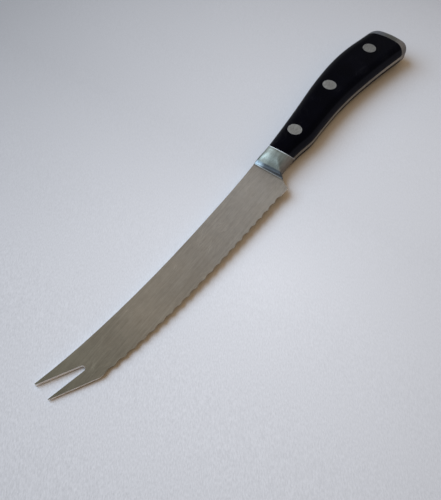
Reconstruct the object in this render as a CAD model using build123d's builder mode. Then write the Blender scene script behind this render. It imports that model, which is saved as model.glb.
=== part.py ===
from build123d import *
import os
from math import cos, radians, sin

os.makedirs("parts", exist_ok=True)

# A forged tomato knife lying on its right side, in millimetres.
# X runs from the forked tip to the butt, Y from the cutting edge to the spine,
# Z up out of the left side. Outlines are drawn from the point on the spine
# where the blade meets the front bolster.

# Blade
blade_length = 139.0
heel_depth = 19.9
tip_rise = 6.7
spine_thickness = 2.0
tip_thickness = 1.75
edge_thickness = 0.5
heel_setback = 4.3
heel_hollow = 1.0

# Serrations, ground into the right side of the cutting edge
serration_count = 22
serration_pitch = 5.03
serration_depth = 0.75
serration_land = 0.3
serration_bevel_angle = 20.0
plain_heel_edge = 5.5

# Fork at the tip
upper_prong_setback = 1.6
prong_tip_height = 0.6
fork_mouth = 7.1
notch_length = 23.6
notch_drop = 5.9
notch_radius = 1.2
prong_root_setback = 17.0
prong_root_drop = 10.6

# Handle
handle_length = 117.95
handle_hump = 5.4
grip_hollow = 3.14
butt_fall = 1.0
butt_drop = 23.25
butt_spine_setback = 1.6
butt_belly_setback = 2.9
butt_crown_drop = 10.0
butt_spine_radius = 7.0
butt_belly_allowance = 0.3
handle_thickness = 12.0
handle_rounding = 4.6

# Bolsters and tang
tang_thickness = 2.0
bolster_drop = 0.34
bolster_depth = 12.46
nose_length = 7.0
nose_setback = 0.3
nose_flare = 0.9
scoop_length = 1.9
scoop_rise = 6.0
scoop_blend = 0.03
front_seam = 8.3
front_seam_foot = 12.2
seam_foot_radius = 1.5
rear_bolster_length = 6.2
seam_clearance = 0.03

# Cutler's rivets, each a post driven into a sleeve
rivet_head_diameter = 6.8
rivet_head_seat = 3.4
sleeve_diameter = 4.4
post_diameter = 2.6
rivet_clearance = 0.05
rivet_end_gap = 0.5

overrun = 12.0

# Outline of the blade: the spine dips and then sweeps up to the fork.
spine_along_shares = (-0.09, -0.25, -0.485, -0.70, -0.89)
spine_rise_shares = (-0.095, -0.12, -0.045, 0.21, 0.645)
edge_along_shares = (-0.26, -0.50, -0.72)
edge_drop_shares = (-0.948, -0.868, -0.72)

# Outline of the handle: from the level bolster to the butt run tangent arcs, whose ends
# stand off the straight line by shares of the hump and of the grip's hollow.
spine_arc_along_shares = (0.041, 0.174, 0.393, 0.622, 0.8505)
spine_arc_hump_shares = (0.033, 0.2435, 0.683, 0.993, 0.577)
belly_arc_along_shares = (0.148, 0.213, 0.352, 0.583, 0.861)
belly_arc_hollow_shares = (0.056, 0.113, 0.667, 1.0, 0.441)

# The nose of the front bolster narrows in these steps towards the blade.
nose_along_shares = (0.72, 0.46, 0.235, 0.0)
nose_spine_flare_shares = (0.08, 0.25, 0.40, 0.40)
nose_belly_flare_shares = (0.05, 0.35, 1.1, 2.4)
nose_thickness_shares = (0.925, 0.75, 0.417, 0.20)
nose_rounding_shares = (0.77, 0.74, 0.66, 0.60)

rivet_names = ("front", "middle", "rear")
rivet_along_shares = (0.153, 0.4845, 0.821)
rivet_across_shares = (0.4025, 0.209, 0.3165)


def placed(along_shares, along_size, across_shares, across_size):
    """Outline points from shares of a size along the knife and of a size across it."""
    return [
        (along_share * along_size, across_share * across_size)
        for along_share, across_share in zip(along_shares, across_shares)
    ]


def bowed(start, end, along_shares, bow_shares, bow):
    """Points between two corners, standing off their straight line by shares of a bow."""
    return [
        (
            start[0] + along_share * (end[0] - start[0]),
            start[1] + along_share * (end[1] - start[1]) + bow_share * bow,
        )
        for along_share, bow_share in zip(along_shares, bow_shares)
    ]


def arc_chain(points):
    """Arcs from point to point, the first starting level and each tangent to the last."""
    tangent = (1, 0)
    for start, end in zip(points, points[1:]):
        tangent = TangentArc(start, end, tangent=tangent) % 1


blade_root = (nose_setback - scoop_length / 2, -bolster_drop / 2)
upper_tip = (upper_prong_setback - blade_length, tip_rise)
upper_tip_foot = (upper_prong_setback - blade_length, tip_rise - prong_tip_height)
notch_corner = (notch_length - blade_length, -notch_drop)
lower_tip = (-blade_length, tip_rise - prong_tip_height - fork_mouth)
lower_tip_foot = (-blade_length, tip_rise - prong_tip_height * 3 / 2 - fork_mouth)
prong_root = (prong_root_setback - blade_length, -prong_root_drop)
heel_corner = (-heel_setback, -heel_depth)
heel_top = (nose_setback + scoop_length * 3 / 2, -bolster_drop - bolster_depth)

with BuildSketch() as blade_outline:
    with BuildLine():
        Spline(
            blade_root,
            *placed(spine_along_shares, blade_length, spine_rise_shares, tip_rise),
            upper_tip,
        )
        Polyline(upper_tip, upper_tip_foot, notch_corner, lower_tip, lower_tip_foot, prong_root)
        cutting_edge = Spline(
            heel_corner,
            *placed(edge_along_shares, blade_length, edge_drop_shares, heel_depth),
            prong_root,
        )
        SagittaArc(heel_corner, heel_top, heel_hollow)
        Polyline(heel_top, (front_seam, -bolster_depth / 2), blade_root)
    make_face()
    fillet(blade_outline.vertices().sort_by_distance(notch_corner)[0], notch_radius)

handle_front_top = (nose_length, -bolster_drop)
handle_front_bottom = (nose_length, -bolster_drop - bolster_depth)
butt_top = (handle_length - butt_spine_setback, -butt_fall)
butt_crown = (handle_length, -butt_crown_drop)
butt_bottom = (handle_length - butt_belly_setback, -butt_drop)

with BuildSketch() as handle_outline:
    with BuildLine():
        arc_chain(
            [
                handle_front_top,
                *bowed(
                    handle_front_top,
                    butt_top,
                    spine_arc_along_shares,
                    spine_arc_hump_shares,
                    handle_hump,
                ),
                butt_top,
            ]
        )
        butt_end = ThreePointArc(butt_top, butt_crown, butt_bottom)
        arc_chain(
            [
                handle_front_bottom,
                *bowed(
                    handle_front_bottom,
                    butt_bottom,
                    belly_arc_along_shares,
                    belly_arc_hollow_shares,
                    grip_hollow,
                ),
                butt_bottom,
            ]
        )
        Line(handle_front_bottom, handle_front_top)
    make_face()
    fillet(handle_outline.vertices().sort_by_distance(butt_top)[0], butt_spine_radius)
    fillet(
        handle_outline.vertices().sort_by_distance(butt_bottom)[0],
        handle_rounding + butt_belly_allowance,
    )

# The origin is under the middle of the knife, at the level of the handle's lowest side.
outline_middle = (blade_outline.sketch + handle_outline.sketch).bounding_box().center()
knife_origin = (-outline_middle.X, -outline_middle.Y, handle_thickness / 2)
knife_plane = Plane(knife_origin)
side_plane = Plane(knife_origin, x_dir=(1, 0, 0), z_dir=(0, -1, 0))

# Left flank of the blade: one flat from the spine at the bolster to the heel and to the tip.
flank_spine = Vector(0, 0, spine_thickness / 2)
flank_heel = Vector(*heel_corner, edge_thickness / 2)
flank_tip = Vector(*upper_tip, tip_thickness / 2)
left_flank = Plane(
    knife_plane.from_local_coords(flank_spine),
    x_dir=(1, 0, 0),
    z_dir=(flank_spine - flank_tip).cross(flank_spine - flank_heel),
)
right_flank = Plane(
    knife_plane.from_local_coords(Vector(0, 0, -spine_thickness / 2)),
    x_dir=(1, 0, 0),
    z_dir=(left_flank.z_dir.X, left_flank.z_dir.Y, -left_flank.z_dir.Z),
)

# Scoop in front of the bolster's nose: it runs out on the flank of the blade.
scoop_foot = nose_setback - scoop_length
scoop_plane = Plane(left_flank.origin, x_dir=left_flank.x_dir, z_dir=-left_flank.y_dir)

with BuildPart() as left_scoop:
    with BuildSketch(scoop_plane):
        with BuildLine():
            EllipticalCenterArc(
                (scoop_foot, scoop_rise), scoop_length, scoop_rise + scoop_blend, start_angle=-90
            )
            Polyline(
                (nose_setback, scoop_rise),
                (nose_setback, handle_thickness),
                (scoop_foot - overrun, handle_thickness),
                (scoop_foot - overrun, -scoop_blend),
                (scoop_foot, -scoop_blend),
            )
        make_face()
    extrude(amount=butt_drop, both=True)


def nose_section(along_share, spine_flare_share, belly_flare_share, thickness_share, rounding_share):
    """Rounded section across the nose of the front bolster."""
    along = scoop_foot + along_share * (nose_length - scoop_foot)
    top = -bolster_drop + spine_flare_share * nose_flare
    bottom = -bolster_drop - bolster_depth - belly_flare_share * nose_flare
    thickness = thickness_share * handle_thickness
    centre = knife_plane.from_local_coords((along, (top + bottom) / 2, 0))
    with BuildSketch(Plane(centre, x_dir=(0, 1, 0), z_dir=(1, 0, 0))) as section:
        RectangleRounded(top - bottom, thickness, rounding_share * thickness / 2)
    return section.sketch.face()


nose_sections = [
    nose_section(*shares)
    for shares in zip(
        nose_along_shares,
        nose_spine_flare_shares,
        nose_belly_flare_shares,
        nose_thickness_shares,
        nose_rounding_shares,
    )
]

# Form of the whole handle, bolsters and scales together: its outline with the long edges
# rounded, and the nose lofted on to its front end.
with BuildPart() as handle_form:
    with BuildSketch(knife_plane):
        add(handle_outline.sketch)
    extrude(amount=handle_thickness / 2, both=True)
    broad_faces = handle_form.faces().sort_by(Axis.Z)
    rims = (broad_faces[0].edges() + broad_faces[-1].edges()).sort_by(Axis.X)[2:]
    fillet(rims, handle_rounding)
    loft([handle_form.faces().sort_by(Axis.X)[0], *nose_sections])
    add(left_scoop.part, mode=Mode.SUBTRACT)
    add(mirror(left_scoop.part, about=knife_plane, mode=Mode.PRIVATE), mode=Mode.SUBTRACT)


def on_handle(along_shares, across_shares):
    """Places on the handle, by shares of its length from the nose and of its depth there."""
    places = []
    for along_share, across_share in zip(along_shares, across_shares):
        top = -bolster_drop - along_share * (butt_fall - bolster_drop)
        bottom = top - bolster_depth - along_share * (butt_drop - butt_fall - bolster_depth)
        along = nose_length + along_share * (handle_length - nose_length)
        places.append((along, top + across_share * (bottom - top)))
    return places


def scale_space(clearance):
    """Space outside the tang's left face, whose end seams stand back by a clearance."""
    seam_slope = (front_seam_foot - front_seam) / (handle_thickness - tang_thickness) * 2
    foot = (front_seam_foot + clearance, tang_thickness / 2)
    lip = (
        front_seam + clearance - seam_slope * handle_thickness / 2,
        handle_thickness,
    )
    with BuildPart() as space:
        with BuildSketch(side_plane) as front_end:
            with BuildLine():
                Polyline(
                    foot,
                    (handle_length, tang_thickness / 2),
                    (handle_length, handle_thickness),
                    lip,
                    close=True,
                )
            make_face()
            fillet(front_end.vertices().sort_by_distance(foot)[0], seam_foot_radius)
        extrude(amount=butt_drop * 2, both=True)
        with BuildSketch(knife_plane):
            with Locations(butt_end.arc_center):
                Circle(butt_end.radius - rear_bolster_length - clearance)
                Rectangle(handle_length, butt_drop * 2, align=(Align.MAX, Align.CENTER))
        extrude(amount=handle_thickness, both=True, mode=Mode.INTERSECT)
    return space.part


rivet_places = on_handle(rivet_along_shares, rivet_across_shares)
rivet_seat = handle_thickness / 2 - rivet_head_seat

# Blade, bolsters and tang. The flanks are ground flat, and then the serrations are cut
# into the edge on the right side with a wheel of their own radius.
gullet_chord = serration_pitch - serration_land
gullet_radius = (gullet_chord**2 / 4 + serration_depth**2) / (2 * serration_depth)
bevel = radians(serration_bevel_angle)
wheel_radius = gullet_radius / sin(bevel)
wheel_width = 4 * (serration_depth + edge_thickness / sin(bevel))

with BuildPart() as forged_blade:
    with BuildSketch(knife_plane):
        add(blade_outline.sketch)
    extrude(amount=spine_thickness, both=True)
    split(bisect_by=left_flank, keep=Keep.BOTTOM)
    split(bisect_by=right_flank, keep=Keep.BOTTOM)
    for index in range(serration_count):
        distance = plain_heel_edge + (index + 0.5) * serration_pitch
        cusp_line = cutting_edge.position_at(distance, position_mode=PositionMode.LENGTH)
        direction = cutting_edge.tangent_at(distance, position_mode=PositionMode.LENGTH)
        inward = Vector(direction.Y, -direction.X)
        upward = Vector(0, 0, 1)
        gullet = cusp_line + inward * serration_depth + upward * (edge_thickness / 2)
        wheel_axis = inward * cos(bevel) - upward * sin(bevel)
        wheel_centre = gullet - (inward * sin(bevel) + upward * cos(bevel)) * wheel_radius
        with Locations(Plane(knife_plane.from_local_coords(wheel_centre), z_dir=wheel_axis)):
            Cylinder(wheel_radius, wheel_width, mode=Mode.SUBTRACT)
    add(handle_form.part)
    left_pocket = scale_space(0)
    add(left_pocket, mode=Mode.SUBTRACT)
    add(mirror(left_pocket, about=knife_plane, mode=Mode.PRIVATE), mode=Mode.SUBTRACT)
    with BuildSketch(knife_plane):
        with Locations(*rivet_places):
            Circle(sleeve_diameter / 2 + rivet_clearance)
    extrude(amount=tang_thickness, both=True, mode=Mode.SUBTRACT)

forged_blade.part.label = "forged_blade"
export_step(forged_blade.part, "parts/forged_blade.step")

# Scales, counterbored from outside for the rivet heads.
with BuildPart() as left_scale:
    add(scale_space(seam_clearance))
    add(handle_form.part, mode=Mode.INTERSECT)
    with Locations(knife_plane.offset(handle_thickness / 2)):
        with Locations(*rivet_places):
            CounterBoreHole(
                sleeve_diameter / 2 + rivet_clearance,
                rivet_head_diameter / 2 + rivet_clearance,
                rivet_head_seat,
            )

left_scale.part.label = "left_scale"
export_step(left_scale.part, "parts/left_scale.step")

with BuildPart() as right_scale:
    add(mirror(left_scale.part, about=knife_plane, mode=Mode.PRIVATE))

right_scale.part.label = "right_scale"
export_step(right_scale.part, "parts/right_scale.step")

# Rivets: the sleeve comes up from the right side, and the post is driven into it from the
# left. The heads are ground flush with the scales.
for rivet_name, rivet_place in zip(rivet_names, rivet_places):
    with BuildPart() as rivet_sleeve:
        with BuildSketch(knife_plane.offset(-rivet_seat)):
            with Locations(rivet_place):
                Circle(rivet_head_diameter / 2)
        extrude(amount=-handle_thickness)
        add(handle_form.part, mode=Mode.INTERSECT)
        with BuildSketch(knife_plane.offset(-rivet_seat)):
            with Locations(rivet_place):
                Circle(sleeve_diameter / 2)
        extrude(amount=2 * rivet_seat - rivet_end_gap)
        with BuildSketch(knife_plane.offset(-rivet_seat)):
            with Locations(rivet_place):
                Circle(post_diameter / 2)
        extrude(amount=2 * rivet_seat, mode=Mode.SUBTRACT)
    rivet_sleeve.part.label = f"{rivet_name}_rivet_sleeve"
    export_step(rivet_sleeve.part, f"parts/{rivet_name}_rivet_sleeve.step")

    with BuildPart() as rivet_post:
        with BuildSketch(knife_plane.offset(rivet_seat)):
            with Locations(rivet_place):
                Circle(rivet_head_diameter / 2)
        extrude(amount=handle_thickness)
        add(handle_form.part, mode=Mode.INTERSECT)
        with BuildSketch(knife_plane.offset(rivet_seat)):
            with Locations(rivet_place):
                Circle(post_diameter / 2 - rivet_clearance)
        extrude(amount=rivet_end_gap - 2 * rivet_seat)
    rivet_post.part.label = f"{rivet_name}_rivet_post"
    export_step(rivet_post.part, f"parts/{rivet_name}_rivet_post.step")
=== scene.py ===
from collections import namedtuple
from math import radians

import bpy
from mathutils import Color, Matrix, Quaternion, Vector


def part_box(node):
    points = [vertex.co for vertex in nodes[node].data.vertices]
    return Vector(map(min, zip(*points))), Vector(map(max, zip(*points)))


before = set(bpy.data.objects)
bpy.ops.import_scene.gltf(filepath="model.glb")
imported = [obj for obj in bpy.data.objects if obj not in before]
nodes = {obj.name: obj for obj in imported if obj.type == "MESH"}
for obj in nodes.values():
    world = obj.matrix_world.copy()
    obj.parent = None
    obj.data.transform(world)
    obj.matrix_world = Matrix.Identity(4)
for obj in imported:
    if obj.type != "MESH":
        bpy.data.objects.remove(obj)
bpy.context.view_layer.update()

MM = 0.001

# Places are millimetres from the root of the blade, the point of the spine where the blade meets
# the front bolster: along the knife towards the butt, across it towards the spine, and above the
# middle of its thickness. The ends of the forging's box, the blade's tip and the upper prong's
# point, give the root.
BLADE_LENGTH = 139.0
TIP_RISE = 6.7
lowest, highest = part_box("forged_blade")
ORIGIN = Vector((
    lowest.x + BLADE_LENGTH * MM,
    highest.y - TIP_RISE * MM,
    (lowest.z + highest.z) / 2,
))
Place = namedtuple("Place", "along across above")


def at(along, across, above):
    """A place given in millimetres from the root of the blade, in the metres of the frame."""
    return ORIGIN + Vector((along, across, above)) * MM


def tint(red, green, blue):
    """A colour written as it should render, from 0 to 255, as linear values."""
    linear = Color((red / 255, green / 255, blue / 255)).from_srgb_to_scene_linear()
    return (*linear, 1.0)


def link(thing):
    bpy.context.scene.collection.objects.link(thing)


# Nearly all values of a noise lie in the wide span, and most of them in the narrow one.
WIDE_SPAN = (0.3, 0.7)
NARROW_SPAN = (0.35, 0.65)
NOISE_MIDDLE = 0.5

# Hair scratches are thin bands round the middle of a noise, kept where a second noise is high.
HAIR_LENGTHWISE = 0.15
HAIR_CROSSWISE = 8.0
HAIR_WIDTH = 0.02
SPOT_SCALE = 0.6
SPOT_SPAN = (0.56, 0.68)

# An edge is where the rounded normal turns away from the flat one, by the cosine between them.
EDGE_SPAN = (0.97, 0.80)
EDGE_SAMPLES = 4

# Depth of the bumps from grinding and pores.
FINE_DEPTH = 0.02 * MM

# Sockets of a Mix node that mixes colours.
MIX_SHARE = 0
MIX_FIRST = 6
MIX_SECOND = 7
MIX_RESULT = 2


class Nodes:
    """A material's node tree, with short ways to add and join nodes."""

    def __init__(self, name):
        self.material = bpy.data.materials.new(name)
        self.material.use_nodes = True
        self.tree = self.material.node_tree
        self.shader = self.tree.nodes["Principled BSDF"]
        self.place = self.add("ShaderNodeTexCoord").outputs["Object"]

    def add(self, kind, **settings):
        node = self.tree.nodes.new(kind)
        for key, value in settings.items():
            setattr(node, key, value)
        return node

    def put(self, target, value):
        """Join a value from another node to a socket, or set a plain one on the socket."""
        if isinstance(value, bpy.types.NodeSocket):
            self.tree.links.new(value, target)
        else:
            target.default_value = value

    def finish(self, looks):
        """Give the shader its looks, by the names of its sockets."""
        for name, value in looks.items():
            self.put(self.shader.inputs[name], value)
        return self.material

    def math(self, operation, *values):
        node = self.add("ShaderNodeMath", operation=operation)
        for socket, value in zip(node.inputs, values):
            self.put(socket, value)
        return node.outputs[0]

    def product(self, first, *others):
        for other in others:
            first = self.math("MULTIPLY", first, other)
        return first

    def total(self, first, *others):
        for other in others:
            first = self.math("ADD", first, other)
        return first

    def raised(self, share, by):
        """1 where the share is 0, and more by a given amount where it is 1."""
        return self.math("MULTIPLY_ADD", share, by, 1.0)

    def vector_math(self, operation, first, second):
        node = self.add("ShaderNodeVectorMath", operation=operation)
        self.put(node.inputs[0], first)
        self.put(node.inputs[1], second)
        return node.outputs["Value"]

    def ramp(self, value, span, low=0.0, high=1.0, smooth=True):
        """Low before the span, high after it, and in between along an eased or a straight line."""
        kind = "SMOOTHSTEP" if smooth else "LINEAR"
        node = self.add("ShaderNodeMapRange", interpolation_type=kind)
        self.put(node.inputs["Value"], value)
        for name, end in zip(("From Min", "From Max", "To Min", "To Max"), (*span, low, high)):
            node.inputs[name].default_value = end
        return node.outputs["Result"]

    def spread(self, noise, low, high):
        """A noise spread evenly from low to high."""
        return self.ramp(noise, WIDE_SPAN, low, high, smooth=False)

    def between(self, share, low, high):
        """Low where the share is 0 and high where it is 1."""
        return self.ramp(share, (0.0, 1.0), low, high, smooth=False)

    def layered(self, colour, *layers):
        """Colours laid over a first one. A layer is a share and a colour."""
        for share, over in layers:
            node = self.add("ShaderNodeMix", data_type="RGBA")
            for socket, value in ((MIX_SHARE, share), (MIX_FIRST, colour), (MIX_SECOND, over)):
                self.put(node.inputs[socket], value)
            colour = node.outputs[MIX_RESULT]
        return colour

    def shaded(self, colour, *shades):
        """A colour multiplied by one shade after another."""
        for shade in shades:
            node = self.add("ShaderNodeVectorMath", operation="SCALE")
            self.put(node.inputs[0], colour)
            self.put(node.inputs["Scale"], shade)
            colour = node.outputs[0]
        return colour

    def moved(self, place, shift=(0, 0, 0), turn=(0, 0, 0), scale=(1, 1, 1)):
        """A place scaled, turned and then shifted."""
        node = self.add("ShaderNodeMapping")
        self.put(node.inputs["Vector"], place)
        for name, value in (("Location", shift), ("Rotation", turn), ("Scale", scale)):
            node.inputs[name].default_value = value
        return node.outputs[0]

    def local(self):
        """Millimetres along, across and above the root of the blade."""
        node = self.add("ShaderNodeSeparateXYZ")
        moved = self.moved(self.place, shift=tuple(-ORIGIN / MM), scale=(1 / MM,) * 3)
        self.put(node.inputs[0], moved)
        return Place(*node.outputs)

    def facing(self, axis):
        """How far the surface faces along an axis, from -1 to 1."""
        node = self.add("ShaderNodeSeparateXYZ")
        self.put(node.inputs[0], self.add("ShaderNodeNewGeometry").outputs["Normal"])
        return node.outputs[axis]

    def noise(self, scale, detail=2.0, roughness=0.5, stretch=(1, 1, 1), turn=(0, 0, 0)):
        """A noise whose place is turned first and then stretched."""
        node = self.add("ShaderNodeTexNoise")
        place = self.moved(self.place, turn=turn) if any(turn) else self.place
        self.put(node.inputs["Vector"], self.moved(place, scale=stretch))
        for name, value in (("Scale", scale), ("Detail", detail), ("Roughness", roughness)):
            node.inputs[name].default_value = value
        return node.outputs["Fac"]

    def grain(self, lengthwise, crosswise, detail=2.0, roughness=0.5, angle=0.0):
        """A noise drawn out into lines, by its scales along the lines and across them."""
        stretch = (lengthwise, crosswise, crosswise)
        return self.noise(1.0, detail, roughness, stretch, turn=(0, 0, angle))

    def scratches(self, angle, fineness=150.0):
        """Sparse hair lines at an angle to the knife, from 0 to 1."""
        lines = self.grain(HAIR_LENGTHWISE * fineness, HAIR_CROSSWISE * fineness, angle=angle)
        from_middle = self.math("ABSOLUTE", self.math("SUBTRACT", lines, NOISE_MIDDLE))
        spots = self.noise(SPOT_SCALE * fineness)
        return self.product(self.ramp(from_middle, (HAIR_WIDTH, 0.0)), self.ramp(spots, SPOT_SPAN))

    def edges(self, radius):
        """1 on the part's edges and corners, 0 on its faces."""
        rounded = self.add("ShaderNodeBevel", samples=EDGE_SAMPLES)
        rounded.inputs["Radius"].default_value = radius
        flat = self.add("ShaderNodeNewGeometry").outputs["True Normal"]
        return self.ramp(self.vector_math("DOT_PRODUCT", rounded.outputs[0], flat), EDGE_SPAN)

    def bump(self, height, strength, depth=FINE_DEPTH):
        """The normal of a surface raised by a height from 0 to 1."""
        node = self.add("ShaderNodeBump")
        self.put(node.inputs["Height"], height)
        node.inputs["Distance"].default_value = depth
        node.inputs["Strength"].default_value = strength
        return node.outputs["Normal"]


# Steel of the blade. Painted shade deepens it towards the fork and, a little, towards the root,
# where a dark painted line of shade closes it. Walls are the surfaces that stand upright round its
# outline and in the fork; they carry a pale painted reflection.
BLADE_ROOT = tint(150, 143, 134)
BLADE_MIDDLE = tint(117, 106, 92)
BLADE_TIP = tint(80, 73, 59)
BLADE_CLOUDS = tint(124, 113, 98)
BLADE_WALL_REFLECTION = tint(236, 227, 218)
BOLSTER_TO_BLADE = (0.6, -1.4)
ROOT_TO_MIDDLE = (-10.0, -92.0)
MIDDLE_TO_TIP = (-92.0, -BLADE_LENGTH)
MIDDLE_TO_ROOT = (-14.0, -2.0)
ROOT_SHADE_LINE = (-2.4, -1.6)
WALL_SPAN = (0.5, 0.3)

# Steel of the front bolster, with a painted highlight band along it near the spine, a painted
# reflection on its belly side and painted shade towards the scoop.
BOLSTER = tint(109, 112, 105)
BOLSTER_HIGHLIGHT_BAND = tint(154, 159, 151)
BOLSTER_BELLY_REFLECTION = tint(118, 110, 100)
BAND_BELLY_SIDE = (-7.0, -3.4)
BAND_SPINE_SIDE = (-0.9, -2.4)
BAND_TO_BELLY = (-10.5, -13.0)
BOLSTER_TO_SCOOP = (6.0, 1.0)

# Ground scoop between the front bolster and the blade, with a painted reflection: a painted
# highlight on its spine side and painted shade on its belly side.
SCOOP_BELLY_SHADE = tint(48, 52, 57)
SCOOP_SPINE_HIGHLIGHT = tint(128, 139, 145)
SCOOP_BLADE_SIDE = (-1.5, -0.9)
SCOOP_BOLSTER_SIDE = (0.7, 0.2)
SCOOP_TO_SPINE = (-5.2, -2.2)

# A painted highlight on the lip of the front bolster at the left scale. Their seam leans back from
# the flank to the tang, and the painted highlight fades towards the belly.
SEAM_LIP_HIGHLIGHT = tint(236, 240, 243)
SEAM_SLANT = 0.78
SEAM_AT = 12.98
LIP_SPAN = (0.45, 0.1)
BELLY_TO_SPINE = (-13.0, -8.0)

# Rear bolster, from its spine round to its belly, with painted reflections: darker across its back
# and paler at the belly.
BUTT_SPINE = tint(92, 93, 97)
BUTT_BACK = tint(78, 76, 70)
BUTT_BELLY = tint(105, 98, 93)
SCALE_TO_BUTT = (105.0, 112.0)
SPINE_TO_BACK = (-5.0, -12.0)
BACK_TO_BELLY = (-14.0, -19.0)

# Bare strip of the tang between the scales, with a painted highlight that grows towards the butt.
TANG_FACE = (1.3, 1.0)
TANG_START = (10.0, 22.0)
TANG_END = (113.0, 109.0)
TANG_HIGHLIGHT_GROWS = (80.0, 106.0)

# Worn edges with a painted highlight along them, which show less on the blade than on the
# bolsters.
WORN_AND_GLINTING_EDGES = tint(190, 194, 197)
EDGE_RADIUS = 0.25 * MM
BOLSTER_EDGE_SHARE = 0.25
BLADE_EDGE_SHARE = 0.05

# The blade is smoother than the bolsters, and its fine grinding half as deep as the coarse.
BLADE_ROUGHNESS = 0.38
BOLSTER_ROUGHNESS = 0.52
FINE_GRIND_HEIGHT = 0.5


def blade_colour(kit, here, clouds):
    # Painted shade deepens the blade from the root towards the fork.
    colour = kit.layered(
        BLADE_ROOT,
        (kit.ramp(here.along, ROOT_TO_MIDDLE, smooth=False), BLADE_MIDDLE),
        (kit.ramp(clouds, NARROW_SPAN, high=0.3), BLADE_CLOUDS),
        (kit.ramp(here.along, MIDDLE_TO_TIP, smooth=False), BLADE_TIP),
    )
    # Painted shade: a little darker towards the root, and a dark painted line of shade at the
    # scoop.
    colour = kit.shaded(
        colour,
        kit.ramp(here.along, MIDDLE_TO_ROOT, low=1.0, high=0.86, smooth=False),
        kit.ramp(here.along, ROOT_SHADE_LINE, low=1.0, high=0.6),
    )
    # The upright walls get a pale painted reflection.
    upward = kit.math("ABSOLUTE", kit.facing("Z"))
    return kit.layered(colour, (kit.ramp(upward, WALL_SPAN, high=0.95), BLADE_WALL_REFLECTION))


def bolster_colour(kit, here):
    # A painted highlight band near the spine, and a painted reflection on the belly side.
    band = kit.product(
        kit.ramp(here.across, BAND_BELLY_SIDE),
        kit.ramp(here.across, BAND_SPINE_SIDE),
    )
    colour = kit.layered(
        BOLSTER,
        (band, BOLSTER_HIGHLIGHT_BAND),
        (kit.ramp(here.across, BAND_TO_BELLY), BOLSTER_BELLY_REFLECTION),
    )
    # Painted shade towards the scoop.
    return kit.shaded(colour, kit.ramp(here.along, BOLSTER_TO_SCOOP, low=1.0, high=0.72))


def scoop_reflection_layer(kit, here):
    # Painted reflection in the scoop: pale towards the spine, dark towards the belly.
    share = kit.product(
        kit.ramp(here.along, SCOOP_BLADE_SIDE),
        kit.ramp(here.along, SCOOP_BOLSTER_SIDE, high=0.85),
    )
    return share, kit.layered(SCOOP_BELLY_SHADE, (kit.ramp(here.across, SCOOP_TO_SPINE), SCOOP_SPINE_HIGHLIGHT))


def butt_layer(kit, here):
    # Painted reflections across the rear bolster's rounding.
    colour = kit.layered(
        BUTT_SPINE,
        (kit.ramp(here.across, SPINE_TO_BACK), BUTT_BACK),
        (kit.ramp(here.across, BACK_TO_BELLY), BUTT_BELLY),
    )
    return kit.ramp(here.along, SCALE_TO_BUTT), colour


def edge_layer(kit, on_blade):
    # Wear and a painted highlight on the edges.
    strength = kit.between(on_blade, BOLSTER_EDGE_SHARE, BLADE_EDGE_SHARE)
    return kit.product(kit.edges(EDGE_RADIUS), strength), WORN_AND_GLINTING_EDGES


def lip_highlight_layer(kit, here):
    # A painted highlight along the seam's lip.
    unslanted = kit.math("MULTIPLY_ADD", here.above, SEAM_SLANT, here.along)
    from_seam = kit.math("ABSOLUTE", kit.math("SUBTRACT", unslanted, SEAM_AT))
    share = kit.product(
        kit.ramp(from_seam, LIP_SPAN),
        kit.ramp(here.across, BELLY_TO_SPINE, low=0.25, high=0.9),
    )
    return share, SEAM_LIP_HIGHLIGHT


def bolster_streaks(kit, on_blade):
    """The shade of lengthwise streaks on the bolsters, and 1 on the blade."""
    streaks = kit.grain(lengthwise=90, crosswise=1500, detail=3.0, roughness=0.6)
    return kit.raised(kit.spread(streaks, -0.16, 0.16), by=kit.math("SUBTRACT", 1.0, on_blade))


def tang_painted_highlight(kit, here):
    """The painted highlight of the tang's strip, brighter towards the butt, and 1 elsewhere."""
    on_tang = kit.product(
        kit.ramp(kit.math("ABSOLUTE", here.above), TANG_FACE),
        kit.ramp(here.along, TANG_START),
        kit.ramp(here.along, TANG_END),
    )
    return kit.raised(on_tang, by=kit.ramp(here.along, TANG_HIGHLIGHT_GROWS, low=0.25, high=0.9))


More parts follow.
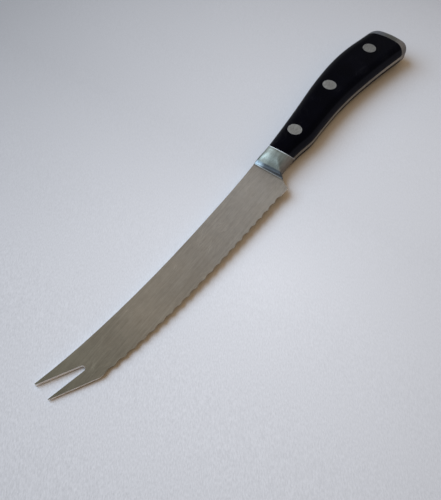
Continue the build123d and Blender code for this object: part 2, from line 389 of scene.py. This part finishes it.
def steel_material():
    """Satin steel ground along the blade, and the bolsters and tang, brighter in places by painted
    highlights and darker by painted shade.
    """
    kit = Nodes("blade_steel")
    here = kit.local()
    on_blade = kit.ramp(here.along, BOLSTER_TO_BLADE)
    grind = kit.grain(lengthwise=60, crosswise=2600, detail=6.0, roughness=0.65)
    fine_grind = kit.grain(lengthwise=150, crosswise=9000, detail=3.0, roughness=0.7)
    mottle = kit.noise(scale=700, detail=4.0, roughness=0.65, stretch=(0.5, 1, 1))
    clouds = kit.noise(scale=55, detail=3.0, roughness=0.55, stretch=(0.6, 1, 1))
    wear = kit.noise(scale=260, detail=4.0, roughness=0.6)
    scratches = kit.math("MAXIMUM", kit.scratches(angle=0.5), kit.scratches(-0.35, fineness=110))

    colour = kit.layered(
        bolster_colour(kit, here),
        (on_blade, blade_colour(kit, here, clouds)),
        scoop_reflection_layer(kit, here),
        butt_layer(kit, here),
        edge_layer(kit, on_blade),
        lip_highlight_layer(kit, here),
    )
    shade = kit.product(
        kit.spread(grind, 0.87, 1.11),
        kit.spread(clouds, 0.90, 1.08),
        kit.spread(fine_grind, 0.94, 1.06),
        kit.spread(mottle, 0.93, 1.07),
        kit.raised(scratches, by=0.2),
        bolster_streaks(kit, on_blade),
        tang_painted_highlight(kit, here),
    )
    rough = kit.total(
        kit.between(on_blade, BOLSTER_ROUGHNESS, BLADE_ROUGHNESS),
        kit.spread(grind, -0.04, 0.05),
        kit.ramp(wear, NARROW_SPAN, low=-0.02, high=0.03, smooth=False),
    )
    ground = kit.math("MULTIPLY_ADD", fine_grind, FINE_GRIND_HEIGHT, grind)
    height = kit.math("SUBTRACT", ground, scratches)
    return kit.finish({
        "Base Color": kit.shaded(colour, shade),
        "Metallic": 1.0,
        "Roughness": rough,
        "Normal": kit.bump(height, strength=0.5),
    })


# Black plastic of the scales. The side that faces the belly is painted paler, a painted reflection
# of the floor.
SCALE_BLACK = tint(0, 0, 3)
SCALE_CLOUDS = tint(1, 1, 6)
SCALE_SCRATCHES = tint(45, 45, 48)
SCALE_BELLY_REFLECTION = tint(20, 22, 32)
BELLY_FACING = (-0.62, -0.80)
RUB_SPAN = (0.4, 0.7)


def scale_material():
    """Black moulded plastic, polished, with fine rubbing marks."""
    kit = Nodes("handle_scale")
    clouds = kit.noise(scale=90, detail=4.0, roughness=0.55)
    rubs = kit.grain(lengthwise=300, crosswise=1800, detail=5.0, roughness=0.6)
    scratches = kit.math("MAXIMUM", kit.scratches(angle=0.2), kit.scratches(-0.6, fineness=120))
    colour = kit.layered(
        SCALE_BLACK,
        (kit.ramp(clouds, NARROW_SPAN), SCALE_CLOUDS),
        (kit.between(scratches, 0.0, 0.25), SCALE_SCRATCHES),
        # Painted reflection on the side facing the belly.
        (kit.ramp(kit.facing("Y"), BELLY_FACING), SCALE_BELLY_REFLECTION),
    )
    rough = kit.total(
        kit.spread(clouds, 0.24, 0.31),
        kit.ramp(rubs, RUB_SPAN, high=0.07, smooth=False),
    )
    pores = kit.noise(scale=1500, detail=3.0, roughness=0.6)
    return kit.finish({
        "Base Color": colour,
        "Specular IOR Level": 0.016,
        "Roughness": rough,
        "Normal": kit.bump(pores, strength=0.25),
    })


# Steel of the rivets, streaked from dark to bright.
RIVET_DARK = tint(98, 96, 92)
RIVET_BRIGHT = tint(146, 144, 139)
RIVET_EDGES = tint(185, 187, 188)
RIVET_EDGE_RADIUS = 0.4 * MM
RIVETS_DARKEN = (40.0, 100.0)


def rivet_material():
    """Rivet steel, ground flush with the scale along the knife, darker towards the butt."""
    kit = Nodes("rivet_steel")
    grind = kit.grain(lengthwise=500, crosswise=3600, detail=5.0, roughness=0.6)
    clouds = kit.noise(scale=300, detail=3.0)
    colour = kit.layered(
        RIVET_DARK,
        (kit.spread(grind, 0.0, 1.0), RIVET_BRIGHT),
        (kit.between(kit.edges(RIVET_EDGE_RADIUS), 0.0, 0.55), RIVET_EDGES),
    )
    colour = kit.shaded(
        colour,
        kit.ramp(kit.local().along, RIVETS_DARKEN, low=1.0, high=0.72),
        kit.ramp(clouds, WIDE_SPAN, low=0.93, high=1.07),
    )
    return kit.finish({
        "Base Color": colour,
        "Metallic": 1.0,
        "Roughness": kit.spread(clouds, 0.34, 0.46),
        "Normal": kit.bump(grind, strength=0.5),
    })


steel = steel_material()
plastic = scale_material()
rivet_steel = rivet_material()
for name, node in nodes.items():
    if name == "forged_blade":
        material = steel
    elif name.endswith("_scale"):
        material = plastic
    else:
        material = rivet_steel
    for slot in node.material_slots:
        slot.material = material

# The floor touches the handle's lowest side and comes just under the tip.
REST_ALONG = 75.0
REST_HEIGHT = -6.05
TIP_FLOOR = -0.95
FLOOR_REACH = 2600.0

# Its paper carries a painted pool of light, brightest beside the blade and darker round it, as in
# the photograph. Past the picture's frame painted light turns it paler and cooler again, most of
# all on the side away from the window.
PAPER_DARK = tint(213, 216, 223)
PAPER_BRIGHT = tint(216, 219, 226)
PAPER_FAR_COOL_LIGHT = tint(196, 214, 233)
PAINTED_LIGHT_CENTRE = at(-50.0, -35.0, REST_HEIGHT)
NEAR_FALLOFF = (0.0, 240 * MM)
FAR_LIGHTENING = (250 * MM, 700 * MM)
HANDLE_LIGHTENING = (0.0, 170.0)
TIP_LIGHTENING = (-60.0, -175.0)
BELLY_LIGHTENING = (-200.0, -700.0)
BELLY_COOLING = (-350.0, -1300.0)
FIBRES_SOFTEN = (-170.0, 0.0)
FIBRE_STRETCH = (800, 2700, 800)
FIBRE_TURN = (0, 0, -0.6)
FIBRE_DEPTH = 0.05 * MM


def floor_height(along):
    """Height of the floor at a place along the knife, in millimetres above its middle."""
    slope = (TIP_FLOOR - REST_HEIGHT) / (-BLADE_LENGTH - REST_ALONG)
    return REST_HEIGHT + (along - REST_ALONG) * slope


def paper_material():
    """Pale paper with fine fibres, and a painted pool of light on it."""
    kit = Nodes("floor_paper")
    here = kit.local()
    away = kit.vector_math("DISTANCE", kit.place, PAINTED_LIGHT_CENTRE)
    speckle = kit.noise(scale=18, detail=3.0)
    colour = kit.layered(
        PAPER_DARK,
        (speckle, PAPER_BRIGHT),
        # Painted cooler light far off on the belly side.
        (kit.ramp(here.across, BELLY_COOLING), PAPER_FAR_COOL_LIGHT),
    )
    fibres = kit.noise(1.0, detail=4.0, roughness=0.6, stretch=FIBRE_STRETCH, turn=FIBRE_TURN)
    fibre_contrast = kit.ramp(here.along, FIBRES_SOFTEN, low=2.7, high=1.0)
    # Painted light: a pool round the blade that falls off, then paler paper farther off.
    shade = kit.product(
        kit.ramp(away, NEAR_FALLOFF, low=1.04, high=0.42, smooth=False),
        kit.ramp(away, FAR_LIGHTENING, low=1.0, high=1.5),
        kit.ramp(here.along, HANDLE_LIGHTENING, low=1.0, high=1.40, smooth=False),
        kit.ramp(here.across, BELLY_LIGHTENING, low=1.0, high=1.55),
        kit.ramp(here.along, TIP_LIGHTENING, low=1.0, high=1.06, smooth=False),
        kit.raised(kit.spread(fibres, -0.045, 0.045), by=fibre_contrast),
    )
    return kit.finish({
        "Base Color": kit.shaded(colour, shade),
        "Roughness": 0.9,
        "Specular IOR Level": 0.1,
        "Normal": kit.bump(fibres, strength=0.3, depth=FIBRE_DEPTH),
    })


floor_mesh = bpy.data.meshes.new("floor")
corners = [
    (-FLOOR_REACH, -FLOOR_REACH),
    (FLOOR_REACH, -FLOOR_REACH),
    (FLOOR_REACH, FLOOR_REACH),
    (-FLOOR_REACH, FLOOR_REACH),
]
floor_points = [at(along, across, floor_height(along)) for along, across in corners]
floor_mesh.from_pydata(floor_points, [], [(0, 1, 2, 3)])
floor_mesh.materials.append(paper_material())
floor = bpy.data.objects.new("floor", floor_mesh)
link(floor)

# Soft bluish window light comes from the upper left of the picture.
KEY_PLACE = at(-765.0, 1620.0, 1836.0)
KEY_SIZE = (2640 * MM, 2100 * MM)
KEY_POWER = 92.0
KEY_COLOUR = (0.62, 0.805, 1.0)

key_light = bpy.data.lights.new("key_light", "AREA")
key_light.shape = "RECTANGLE"
key_light.size, key_light.size_y = KEY_SIZE
key_light.energy = KEY_POWER
key_light.color = KEY_COLOUR
key_lamp = bpy.data.objects.new("key_light", key_light)
key_lamp.location = KEY_PLACE
key_lamp.rotation_euler = (ORIGIN - KEY_PLACE).to_track_quat("-Z", "Y").to_euler()
link(key_lamp)

# A dim warm room lights the knife too, and the camera and the steel see a pale backdrop instead.
ROOM_COLOUR = (0.50, 0.35, 0.205, 1.0)
BACKDROP = tint(232, 234, 238)


def studio_world():
    """The room's light, with the backdrop for what the camera and reflections see."""
    world = bpy.data.worlds.new("studio")
    world.use_nodes = True
    tree = world.node_tree
    room = tree.nodes["Background"]
    room.inputs["Color"].default_value = ROOM_COLOUR
    backdrop = tree.nodes.new("ShaderNodeBackground")
    backdrop.inputs["Color"].default_value = BACKDROP
    path = tree.nodes.new("ShaderNodeLightPath")
    seen = path.outputs["Is Camera Ray"]
    for ray in ("Is Glossy Ray", "Is Transmission Ray"):
        either = tree.nodes.new("ShaderNodeMath")
        either.operation = "MAXIMUM"
        tree.links.new(seen, either.inputs[0])
        tree.links.new(path.outputs[ray], either.inputs[1])
        seen = either.outputs[0]
    choice = tree.nodes.new("ShaderNodeMixShader")
    for socket, source in zip(choice.inputs, (seen, room.outputs[0], backdrop.outputs[0])):
        tree.links.new(source, socket)
    tree.links.new(choice.outputs[0], tree.nodes["World Output"].inputs[0])
    return world


bpy.context.scene.world = studio_world()

# The camera stands at the photograph's place. Its lens and sensor are in millimetres.
CAMERA_PLACE = at(-189.19, -97.72, 229.79)
CAMERA_AIM = at(-49.36, -14.29, 0.0)
CAMERA_ROLL = radians(3.99)
LENS = 48.96
SENSOR_WIDTH = 36.0
CLIP_START = 10 * MM

camera_data = bpy.data.cameras.new("camera")
camera_data.lens = LENS
camera_data.sensor_width = SENSOR_WIDTH
camera_data.clip_start = CLIP_START
camera = bpy.data.objects.new("camera", camera_data)
level = (CAMERA_AIM - CAMERA_PLACE).to_track_quat("-Z", "Y")
roll = Quaternion((0, 0, 1), CAMERA_ROLL)
camera.matrix_world = Matrix.LocRotScale(CAMERA_PLACE, level @ roll, None)
link(camera)
bpy.context.scene.camera = camera

bpy.context.scene.view_settings.view_transform = "Standard"
